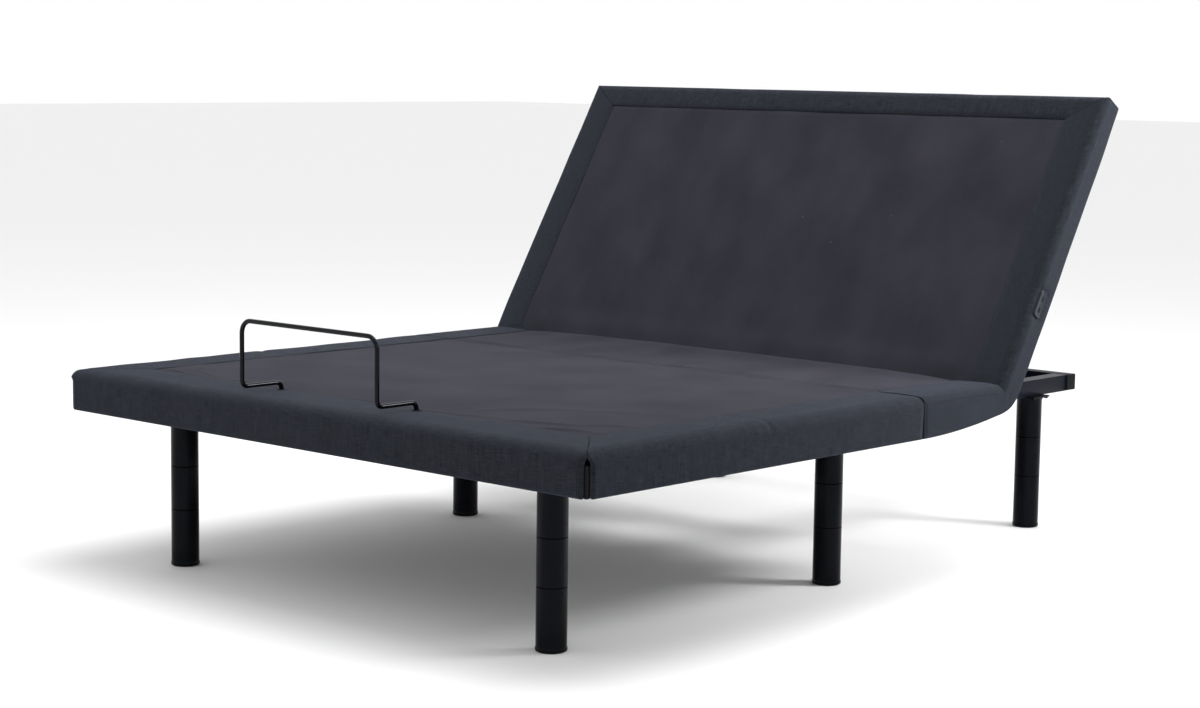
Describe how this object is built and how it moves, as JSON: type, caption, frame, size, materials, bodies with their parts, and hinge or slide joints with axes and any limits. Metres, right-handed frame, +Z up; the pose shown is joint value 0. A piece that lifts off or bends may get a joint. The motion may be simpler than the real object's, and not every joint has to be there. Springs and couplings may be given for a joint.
{
  "type": "adjustable bed base",
  "caption": "Upholstered adjustable bed base with raised head section, lifting knee and foot sections, screw-in legs, retainer bar and underslung linear actuators.",
  "frame": {"origin": "centre of the bounding box on the floor", "axes": "+Z up, +Y towards the head end, +X towards the right side as seen from the foot end"},
  "size_m": [1.515, 2.013, 1.0216],
  "materials": {
    "gloss_black_paint": "gloss black powder coat",
    "frame_black_paint": "satin blue-black powder coat",
    "border_linen": "woven linen-look upholstery",
    "deck_fabric": "matte non-slip deck fabric",
    "deck_board": "bare plywood",
    "dark_plastic": "satin black plastic",
    "bright_steel": "bright steel",
    "zinc_steel": "zinc plated"
  },
  "bodies": {
    "base": {"rail_left": "frame_black_paint", "rail_right": "frame_black_paint", "middle_outrigger_left": "frame_black_paint", "middle_outrigger_right": "frame_black_paint", "foot_crossbar": "frame_black_paint", "seat_crossbar": "frame_black_paint", "motor_crossbar": "frame_black_paint", "head_crossbar": "frame_black_paint", "leg_front_left_bottom": "gloss_black_paint", "leg_front_left_middle": "gloss_black_paint", "leg_front_left_top": "gloss_black_paint", "leg_front_right_bottom": "gloss_black_paint", "leg_front_right_middle": "gloss_black_paint", "leg_front_right_top": "gloss_black_paint", "leg_middle_left_bottom": "gloss_black_paint", "leg_middle_left_middle": "gloss_black_paint", "leg_middle_left_top": "gloss_black_paint", "leg_middle_right_bottom": "gloss_black_paint", "leg_middle_right_middle": "gloss_black_paint", "leg_middle_right_top": "gloss_black_paint", "leg_rear_left_bottom": "gloss_black_paint", "leg_rear_left_middle": "gloss_black_paint", "leg_rear_left_top": "gloss_black_paint", "leg_rear_right_bottom": "gloss_black_paint", "leg_rear_right_middle": "gloss_black_paint", "leg_rear_right_top": "gloss_black_paint", "seat_board": "deck_board", "seat_pad": "deck_fabric", "seat_border_left": "border_linen", "seat_border_right": "border_linen", "seat_hinge_rear_leaf": "zinc_steel", "seat_hinge_front_leaf": "zinc_steel", "control_box": "dark_plastic", "power_supply": "dark_plastic"},
    "head": {"head_board": "deck_board", "head_pad": "deck_fabric", "usb_socket": "dark_plastic", "head_hinge_leaf": "zinc_steel"},
    "thigh": {"thigh_board": "deck_board", "thigh_pad": "deck_fabric", "thigh_border_left": "border_linen", "thigh_border_right": "border_linen", "thigh_hinge_leaf": "zinc_steel", "knee_hinge_thigh_leaf": "zinc_steel"},
    "foot": {"foot_board": "deck_board", "foot_pad": "deck_fabric", "foot_border_left": "border_linen", "foot_border_right": "border_linen", "foot_border_end": "border_linen", "bar_bracket": "zinc_steel", "knee_hinge_foot_leaf": "zinc_steel"},
    "foot_links": {"foot_link_left": "frame_black_paint", "foot_link_right": "frame_black_paint"},
    "retainer": {"retainer_bar": "gloss_black_paint"},
    "head_actuator_body": {"head_actuator": "dark_plastic", "head_motor": "dark_plastic"},
    "head_actuator_ram": {"head_actuator_rod": "bright_steel"},
    "foot_actuator_body": {"foot_actuator": "dark_plastic", "foot_motor": "dark_plastic"},
    "foot_actuator_ram": {"foot_actuator_rod": "bright_steel"}
  },
  "joints": [
    {"name": "head_tilt", "type": "hinge", "parent": "base", "child": "head", "pos_m": [0, 0.3021, 0.399], "axis": [1, 0, 0], "range_deg": [-58.5, 1.5]},
    {"name": "thigh_tilt", "type": "hinge", "parent": "base", "child": "thigh", "pos_m": [0, 0.0071, 0.399], "axis": [-1, 0, 0], "range_deg": [0, 35]},
    {"name": "knee", "type": "hinge", "parent": "thigh", "child": "foot", "pos_m": [0, -0.4915, 0.399], "axis": [1, 0, 0], "range_deg": [0, 35]},
    {"name": "foot_link_swing", "type": "hinge", "parent": "base", "child": "foot_links", "pos_m": [0, -0.0765, 0.333], "axis": [-1, 0, 0], "range_deg": [0, 35]},
    {"name": "head_actuator_swing", "type": "hinge", "parent": "base", "child": "head_actuator_body", "pos_m": [0.12, -0.0815, 0.28], "axis": [1, 0, 0], "range_deg": [-8.44, 0.31]},
    {"name": "head_actuator_stroke", "type": "slide", "parent": "head_actuator_body", "child": "head_actuator_ram", "axis": [0, 0.9959, 0.0908], "range_m": [-0.1214, 0.0036]},
    {"name": "foot_actuator_swing", "type": "hinge", "parent": "base", "child": "foot_actuator_body", "pos_m": [-0.12, 0.4485, 0.285], "axis": [-1, 0, 0], "range_deg": [-0.1, 3.4]},
    {"name": "foot_actuator_stroke", "type": "slide", "parent": "foot_actuator_body", "child": "foot_actuator_ram", "axis": [0, -0.9983, -0.0588], "range_m": [-0.0005, 0.08]},
    {"name": "retainer_lift", "type": "slide", "parent": "foot", "child": "retainer", "axis": [0, 0, 1], "range_m": [0, 0.1]}
  ],
  "couplings": [
    {"joint": "knee", "follows": "thigh_tilt", "ratio": 1},
    {"joint": "foot_link_swing", "follows": "thigh_tilt", "ratio": 1},
    {"joint": "head_actuator_swing", "follows": "head_tilt", "ratio": 0.1426},
    {"joint": "head_actuator_stroke", "follows": "head_tilt", "m_per_rad": 0.11839},
    {"joint": "foot_actuator_swing", "follows": "thigh_tilt", "ratio": 0.094177},
    {"joint": "foot_actuator_stroke", "follows": "thigh_tilt", "m_per_rad": 0.1302}
  ]
}
